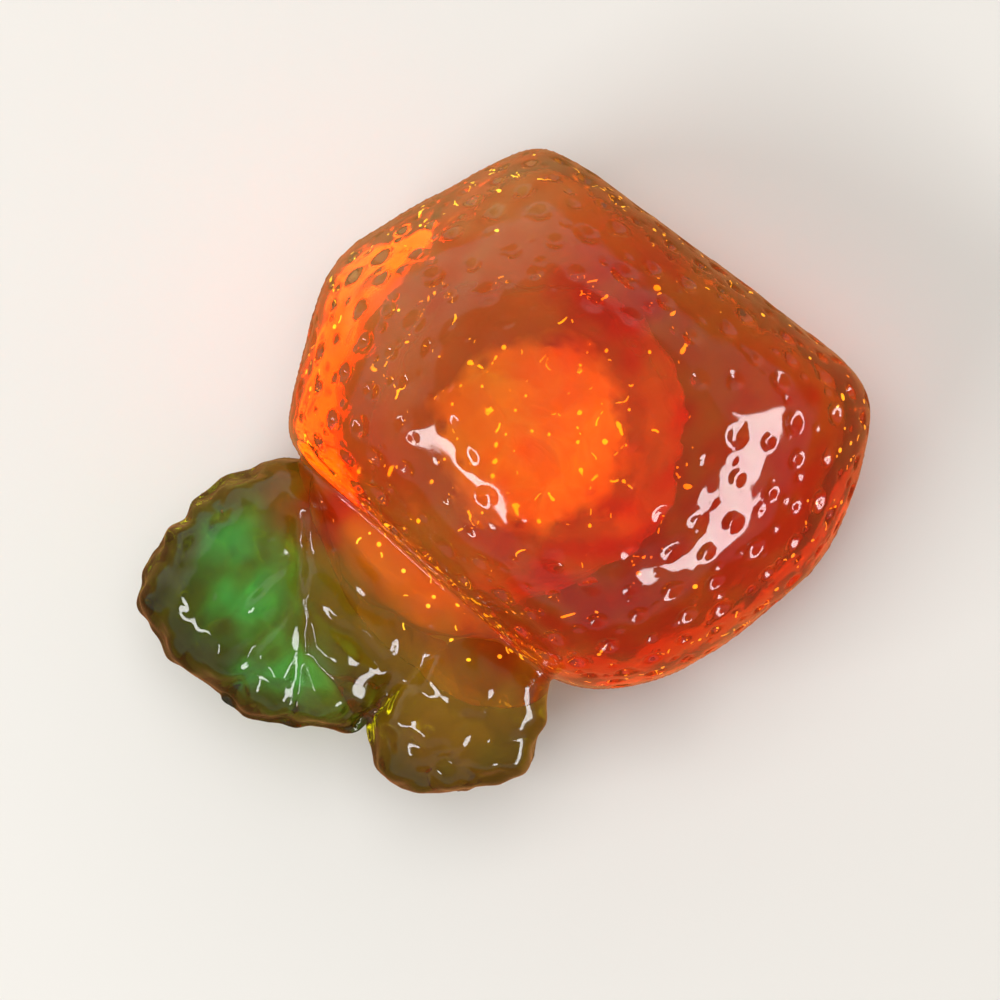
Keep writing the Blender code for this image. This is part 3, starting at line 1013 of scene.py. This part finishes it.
def filling_material(filling):
    """Soft paste: pale clouds and streaks on the orange mound; the red round it is painted shade."""
    material, tree, shader = new_material("soft_filling")
    cloud = noise_pattern(tree, Scale=420.0, Detail=5.0, Distortion=1.2)
    ramp = add_node(tree, "ShaderNodeValToRGB", {"Fac": cloud})
    stops = ((0.36, filling.deep), (0.66, filling.pale))
    for element, (place, tone) in zip(ramp.color_ramp.elements, stops):
        element.position = place
        element.color = (*tone, 1.0)
    tone = mix_colour(tree, stored_share(tree, "ring"), ramp.outputs["Color"], filling.ring)
    tone = mix_colour(tree, stored_share(tree, "flank"), tone, filling.flank)
    values = {"Height": cloud, "Strength": 0.6, "Distance": 0.2 * MM}
    bump = add_node(tree, "ShaderNodeBump", values)
    values = {"Base Color": tone, "Normal": bump.outputs["Normal"], "Roughness": 0.32}
    feed(tree, shader, values)
    return material


def bubble_tree():
    """Small bubbles and bent streaks near a shell, drawn in and out of it at random."""
    inputs = {
        "Geometry": "Geometry", "Spacing": "Float", "Smallest Radius": "Float",
        "Largest Radius": "Float", "Stray": "Float", "Seed": "Int", "Skin": "Material",
    }
    tree, start, end = new_tree("Bubbles", "GeometryNodeTree", inputs, {"Geometry": "Geometry"})
    scatter = scattered(tree, start["Geometry"], start["Spacing"], "bubble_share", start["Seed"])
    draw = random_number(tree, -1.0, 1.0, start["Seed"])
    stray = times(tree, draw, start["Stray"])
    strayed = moved(tree, scatter["Points"], scaled(tree, scatter["Normal"], stray))

    ball = add_node(tree, "GeometryNodeMeshIcoSphere", {"Radius": 1.0, "Subdivisions": 2})
    values = {"Resolution": 7, "Radius": STREAK_BEND, "Sweep Angle": STREAK_SWEEP}
    arc = add_node(tree, "GeometryNodeCurveArc", values)
    values = {"Resolution": 5, "Radius": STREAK_THICKNESS}
    rim = add_node(tree, "GeometryNodeCurvePrimitiveCircle", values)
    values = {
        "Curve": arc.outputs["Curve"], "Profile Curve": rim.outputs["Curve"], "Fill Caps": True,
    }
    streak = add_node(tree, "GeometryNodeCurveToMesh", values)
    shapes = add_node(tree, "GeometryNodeGeometryToInstance")
    for shape in (ball, streak):
        feed(tree, shapes, {"Geometry": shape.outputs["Mesh"]})

    size_seed = math_node(tree, "ADD", start["Seed"], 3.0)
    size = random_number(tree, start["Smallest Radius"], start["Largest Radius"], size_seed)
    values = {1: (BUBBLE_TIP, BUBBLE_TIP, math.tau), "Seed": start["Seed"]}
    spin = add_node(tree, "FunctionNodeRandomValue", values, data_type="FLOAT_VECTOR")
    values = {"Rotation": scatter["Rotation"], "Rotate By": spin.outputs[0]}
    turn = add_node(tree, "FunctionNodeRotateRotation", values, rotation_space="LOCAL")
    values = {
        "Points": strayed, "Instance": shapes.outputs["Instances"], "Pick Instance": True,
        "Rotation": turn.outputs["Rotation"], "Scale": size,
    }
    placed = add_node(tree, "GeometryNodeInstanceOnPoints", values)
    finish_mesh(tree, end, placed.outputs["Instances"], start["Skin"])
    return tree


def bubble_and_painted_glint_material(pale, tone):
    """Small bubbles whose glow is a painted glint, light focused through the pores given as emission."""
    material, tree, shader = new_material("bubbles")
    tones = mix_colour(tree, noise_pattern(tree, Scale=700.0), pale, tone)
    values = {
        "Base Color": tones, "Emission Color": tones, "Emission Strength": PAINTED_GLINT_GLOW,
        "Roughness": 0.2,
    }
    feed(tree, shader, values)
    material.cycles.emission_sampling = "NONE"
    return material


class GUMMY_OT_gel(bpy.types.Operator):
    """Build the orange gel of the fruit and the green gel of the leaves"""
    bl_idname = "gummy.gel"
    bl_label = "Gel"

    def execute(self, context):
        gel = context.scene.gummy_gel
        surface = gel_surface_group()
        orange = gel_material(
            "orange_gel", gel.orange_light, gel.orange_deep,
            [("painted_backlight", gel.orange_painted_backlight), ("bleed", gel.orange_bleed), ("red", gel.orange_red)],
            gel.clearness, gel.orange_soak, gel.orange_density, surface,
        )
        # The leaves' dark spots and rim are painted shade, their clear spots painted light, their brown
        # painted orange light from below
        stains_and_painted_light = [
            ("painted_shade_spots", gel.green_edge_shade), ("clear", gel.green_painted_light), ("painted_underlight", gel.green_painted_underlight),
            ("edge", gel.green_edge_shade), ("bleed", gel.green_bleed), ("red", gel.orange_red),
        ]
        green = gel_material(
            "green_gel", gel.green_middle, gel.green_deep, stains_and_painted_light,
            gel.clearness, gel.green_soak, gel.green_density, surface,
        )
        candy = merged_forms(gel.voxel * (1.0))
        shape_surface(candy, gel)
        mark_dome(candy)
        sink_pores(candy, gel, orange)
        points = read_points(candy.data)
        points[:, 2] = np.maximum(points[:, 2], FOOT_LEVEL)
        write_points(candy.data, points)
        fruit = cut_from(candy, "fruit_gel", "DIFFERENCE", leaf_space(GEL_OVERLAP), orange)
        leaves = cut_from(candy, "leaf_gel", "INTERSECT", leaf_space(0.0), green)
        discard(candy)
        mark_stains_and_painted_light(fruit, FRUIT_STAINS_AND_PAINTED_LIGHT)
        mark_stains_and_painted_light(leaves, LEAF_STAINS_AND_PAINTED_LIGHT)
        mark_painted_edge_shade(leaves)
        for piece, node, slot in ((fruit, "fruit", "orange_gel"), (leaves, "leaves", "green_gel")):
            if len(piece.data.polygons) < LEAST_GEL_FACES:
                raise RuntimeError(f"{piece.name} came out empty")
            mark_bleed(piece)
            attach(piece, "root")
            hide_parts(node)
        return {"FINISHED"}


def filling_middle(filling):
    return np.array(RIM_MIDDLE + Vector((*FILLING_PLACE, filling.height)))


def filling_mesh(name, filling, subdivisions, growth=0.0):
    """A flattened round that wanders in and out, with a mound on it."""
    mesh = make_ball_mesh(name, subdivisions)
    points = read_points(mesh)
    wander = sway(points, *FILLING_WANDER) + sway(points, *FILLING_FRAY)
    radii = filling.radius + filling.unevenness * wander + growth
    points *= radii[:, None] * (1.0, 1.0, FILLING_FLATNESS)
    away = across(points) / filling.mound_radius
    mound = np.exp(-away ** MOUND_POWER)
    points[:, 2] += np.where(points[:, 2] > 0.0, filling.mound_height * mound, 0.0)
    write_points(mesh, points + filling_middle(filling))
    return mesh


def cloud_mesh(name):
    """The cloudy middle of the tongue, flattened and uneven, narrow towards its ends."""
    mesh = make_ball_mesh(name, 5)
    points = read_points(mesh)
    wander = 1.0 + sway(points, *CLOUD_WANDER)
    points *= wander[:, None] * CLOUD_REACH
    points[:, 1] -= CLOUD_BEND * points[:, 0] ** 2
    write_points(mesh, points + np.array(RIM_MIDDLE + Vector(CLOUD_PLACE)))
    return mesh


def mark_cloud(piece):
    """Stores where the tongue's cloud grows thin, towards its edge."""
    local = read_points(piece.data) - np.array(RIM_MIDDLE + Vector(CLOUD_PLACE))
    local[:, 1] += CLOUD_BEND * local[:, 0] ** 2
    shares = np.hypot(local[:, 0] / CLOUD_REACH[0], local[:, 1] / CLOUD_REACH[1])
    shares += sway(local, *CLOUD_FRAY)
    store(piece.data, "flank", rising(shares, CLOUD_THINS, CLOUD_THINS))


def cloud_material(filling):
    """Cloudy orange gel: bright in the middle of the tongue, dull towards its edge."""
    material, tree, shader = new_material("tongue_cloud")
    cloud = noise_pattern(tree, Scale=500.0, Detail=3.0)
    tone = mix_colour(tree, cloud, filling.cloud_deep, filling.cloud_pale)
    tone = mix_colour(tree, stored_share(tree, "flank"), tone, filling.cloud_edge)
    feed(tree, shader, {"Base Color": tone, "Roughness": 0.5})
    return material


def mark_rings(piece, filling):
    """Stores where the red ring round the mound lies, and the filling's outer side and underside, all
    painted shade.
    """
    local = read_points(piece.data) - filling_middle(filling)
    away = across(local) / filling.mound_radius
    away += sway(local, *RING_WANDER) + sway(local, *RING_FRAY)
    below = rising(-local[:, 2], 0.0, UNDERSIDE_BLEND)
    store(piece.data, "ring", np.maximum(rising(away, RING_START, RING_BLEND), below))
    store(piece.data, "flank", np.maximum(rising(away, FLANK_START, FLANK_BLEND), below))


class GUMMY_OT_filling(bpy.types.Operator):
    """Build the soft filling that shows through the gel"""
    bl_idname = "gummy.filling"
    bl_label = "Filling"

    def execute(self, context):
        filling = context.scene.gummy_filling
        piece = new_object("filling", filling_mesh("filling", filling, 6))
        piece.data.materials.append(filling_material(filling))
        piece.data.shade_smooth()
        mark_rings(piece, filling)
        cloud = new_object("tongue_cloud", cloud_mesh("tongue_cloud"))
        cloud.data.materials.append(cloud_material(filling))
        cloud.data.shade_smooth()
        mark_cloud(cloud)
        for item, slot in ((piece, "soft_filling"), (cloud, "orange_gel")):
            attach(item, "root")
        return {"FINISHED"}


def make_bubbles(name, base, shares, bubbles, spacing, seed, material):
    """Bubbles scattered over a base mesh, which goes; shares say where they may lie."""
    store(base.data, "bubble_share", shares)
    values = {
        "Spacing": spacing,
        "Smallest Radius": bubbles.radius_low,
        "Largest Radius": bubbles.radius_high,
        "Stray": bubbles.stray,
        "Seed": seed,
        "Skin": material,
    }
    carry_out(base, "Bubbles", bubble_tree(), values)
    base.name = name
    base.data.shade_smooth()
    if len(base.data.polygons) < LEAST_BUBBLE_FACES:
        raise RuntimeError(f"{name} came out empty")
    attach(base, "root")


class GUMMY_OT_bubbles(bpy.types.Operator):
    """Build the small bubbles over the filling and along the rim, glowing as painted glints"""
    bl_idname = "gummy.bubbles"
    bl_label = "Bubbles"

    def execute(self, context):
        bubbles = context.scene.gummy_bubbles
        filling = context.scene.gummy_filling
        seed = bubbles.seed
        material = bubble_and_painted_glint_material(filling.pale, bubbles.colour)
        shell = new_object("core_shell", filling_mesh("core_shell", filling, 4, bubbles.shell))
        local = read_points(shell.data) - filling_middle(filling)
        over = across(local) < MOUND_EDGE * filling.mound_radius
        shares = np.where((local[:, 2] > 0.0) & over, 1.0, BESIDE_MOUND)
        make_bubbles("core_bubbles_and_glints", shell, shares, bubbles, bubbles.spacing, seed, material)

        shell = make_pillow("rim_shell", FRUIT, SHELL_AROUND, -bubbles.rim_depth)
        local = from_rim(shell)
        band = RIM_SHARE * ridge(local[:, 2] - bubbles.rim_height, bubbles.rim_band)
        shares = np.where(local[:, 2] > RIM_FOOT, band, 0.0)
        make_bubbles("rim_bubbles_and_glints", shell, shares, bubbles, bubbles.spacing, seed + 1, material)

        shell = make_pillow("tongue_shell", NECK, SHELL_AROUND, -bubbles.tongue_depth)
        local = from_rim(shell)
        away = np.hypot(local[:, 0] - TONGUE_PLACE[0], local[:, 1] - TONGUE_PLACE[1])
        shares = np.clip((TONGUE_RADIUS + TONGUE_OUTSIDE - away) / TONGUE_BLEND, 0.0, 1.0)
        shares *= (local[:, 1] < -TONGUE_START) & (local[:, 2] > TONGUE_FOOT)
        spacing = bubbles.tongue_spacing
        make_bubbles("tongue_bubbles_and_glints", shell, shares, bubbles, spacing, seed + 2, material)
        return {"FINISHED"}


def over_picture(right, up, height):
    """A place given along the picture's own axes, from the candy's middle."""
    return PICTURE_RIGHT * right + PICTURE_UP * up + Vector((0.0, 0.0, height))


def make_softbox(name, power, size, azimuth, elevation, distance=0.4):
    """An area lamp that faces the candy. Azimuth runs from the picture's right upwards."""
    turn, tilt = math.radians(azimuth), math.radians(elevation)
    flat = distance * math.cos(tilt)
    data = bpy.data.lights.new(name, "AREA")
    data.shape = "RECTANGLE"
    data.size, data.size_y = size
    data.energy = power
    lamp = bpy.data.objects.new(name, data)
    height = distance * math.sin(tilt)
    lamp.location = over_picture(flat * math.cos(turn), flat * math.sin(turn), height)
    lamp.rotation_mode = "QUATERNION"
    lamp.rotation_quaternion = lamp.location.to_track_quat("Z", "Y")
    bpy.context.scene.collection.objects.link(lamp)
    return lamp


def make_world():
    """A soft studio: a pale wall behind the candy's far side, darker in front and overhead.

    Below the horizon it is orange, a warm light that shows only in the gel.
    """
    world = bpy.data.worlds.new("studio")
    bpy.context.scene.world = world
    world.use_nodes = True
    tree = world.node_tree
    where = add_node(tree, "ShaderNodeTexCoord").outputs["Generated"]
    height = add_node(tree, "ShaderNodeSeparateXYZ", {"Vector": where}).outputs["Z"]
    low = map_range(tree, height, *WALL_TOP, kind="SMOOTHSTEP")
    values = {0: where, 1: WALL_SIDE}
    aside = add_node(tree, "ShaderNodeVectorMath", values, operation="DOT_PRODUCT")
    far = map_range(tree, aside.outputs["Value"], *WALL_EDGES, kind="SMOOTHSTEP")
    front = times(tree, low, FRONT_LIGHT - TOP_LIGHT)
    back = times(tree, times(tree, low, far), WALL_LIGHT - FRONT_LIGHT)
    total = math_node(tree, "ADD", math_node(tree, "ADD", front, back), TOP_LIGHT)
    below = map_range(tree, height, *BELOW_FADE, low=BELOW_LIGHT)
    above = map_range(tree, height, *BELOW_FADE)
    values = {
        "Strength": times(tree, total, below),
        "Color": mix_colour(tree, above, WARM_BELOW, WARM_WHITE),
    }
    feed(tree, tree.nodes["Background"], values)


def floor_material(tone):
    material, tree, shader = new_material("floor")
    feed(tree, shader, {"Base Color": (*tone, 1.0), "Roughness": 0.9, "Specular IOR Level": 0.1})
    return material


class GUMMY_OT_stage(bpy.types.Operator):
    """Set up the floor, the soft lights and the camera"""
    bl_idname = "gummy.stage"
    bl_label = "Stage"

    def execute(self, context):
        stage = context.scene.gummy_stage
        bm = bmesh.new()
        bmesh.ops.create_grid(bm, x_segments=1, y_segments=1, size=1.5)
        mesh = into_mesh(bm, "floor")
        mesh.materials.append(floor_material(stage.floor_colour))
        floor = new_object("floor", mesh)
        floor.visible_glossy = False

        make_world()
        key = KEY_POWER * stage.light
        softbox = make_softbox("softbox_right", key, (0.5, 0.13), azimuth=-20, elevation=23)
        softbox.visible_diffuse = False
        make_softbox("strip_left", STRIP_POWER * key, (0.28, 0.045), azimuth=205, elevation=42)
        power = FILL_POWER * stage.light
        fill = make_softbox(
            "top_fill", power, (0.5, 0.5), azimuth=110, elevation=75, distance=0.6,
        )
        fill.visible_glossy = False

        data = bpy.data.cameras.new("camera")
        data.lens = 150.0
        data.clip_start = 0.01
        camera = bpy.data.objects.new("camera", data)
        distance = stage.picture_width * data.lens / data.sensor_width
        camera.location = (0.0, 0.0, distance + 0.5 * FRUIT_TOP)
        camera.rotation_mode = "QUATERNION"
        turn = math.atan2(PICTURE_RIGHT.y, PICTURE_RIGHT.x)
        camera.rotation_quaternion = Matrix.Rotation(turn, 3, "Z").to_quaternion()
        context.scene.collection.objects.link(camera)
        context.scene.camera = camera
        context.scene.view_settings.view_transform = "Standard"
        context.scene.cycles.max_bounces = 6
        context.scene.cycles.transmission_bounces = 6
        context.scene.cycles.diffuse_bounces = 1
        context.scene.cycles.use_light_tree = False
        return {"FINISHED"}


class GUMMY_PT_panel(bpy.types.Panel):
    """Lists the candy's pieces and the stage"""
    bl_label = "Filled Gummy Candy"
    bl_idname = "GUMMY_PT_panel"
    bl_space_type = "VIEW_3D"
    bl_region_type = "UI"
    bl_category = "Gummy Candy"

    def draw(self, context):
        for group, operator in OPERATORS:
            box = self.layout.box()
            settings = getattr(context.scene, group)
            for name in settings.bl_rna.properties.keys():
                if name not in ("rna_type", "name"):
                    box.prop(settings, name)
            box.operator(operator.bl_idname)


GROUPS = (
    ("gummy_gel", GUMMY_PG_gel),
    ("gummy_filling", GUMMY_PG_filling),
    ("gummy_bubbles", GUMMY_PG_bubbles),
    ("gummy_stage", GUMMY_PG_stage),
)
OPERATORS = (
    ("gummy_gel", GUMMY_OT_gel),
    ("gummy_filling", GUMMY_OT_filling),
    ("gummy_bubbles", GUMMY_OT_bubbles),
    ("gummy_stage", GUMMY_OT_stage),
)


def register():
    for name, group in GROUPS:
        bpy.utils.register_class(group)
        setattr(bpy.types.Scene, name, PointerProperty(type=group))
    for name, operator in OPERATORS:
        bpy.utils.register_class(operator)
    bpy.utils.register_class(GUMMY_PT_panel)


def unregister():
    bpy.utils.unregister_class(GUMMY_PT_panel)
    for name, operator in OPERATORS:
        bpy.utils.unregister_class(operator)
    for name, group in GROUPS:
        delattr(bpy.types.Scene, name)
        bpy.utils.unregister_class(group)


def main():
    register()
    bpy.ops.gummy.gel()
    bpy.ops.gummy.filling()
    bpy.ops.gummy.bubbles()
    bpy.ops.gummy.stage()


if __name__ == "__main__":
    main()
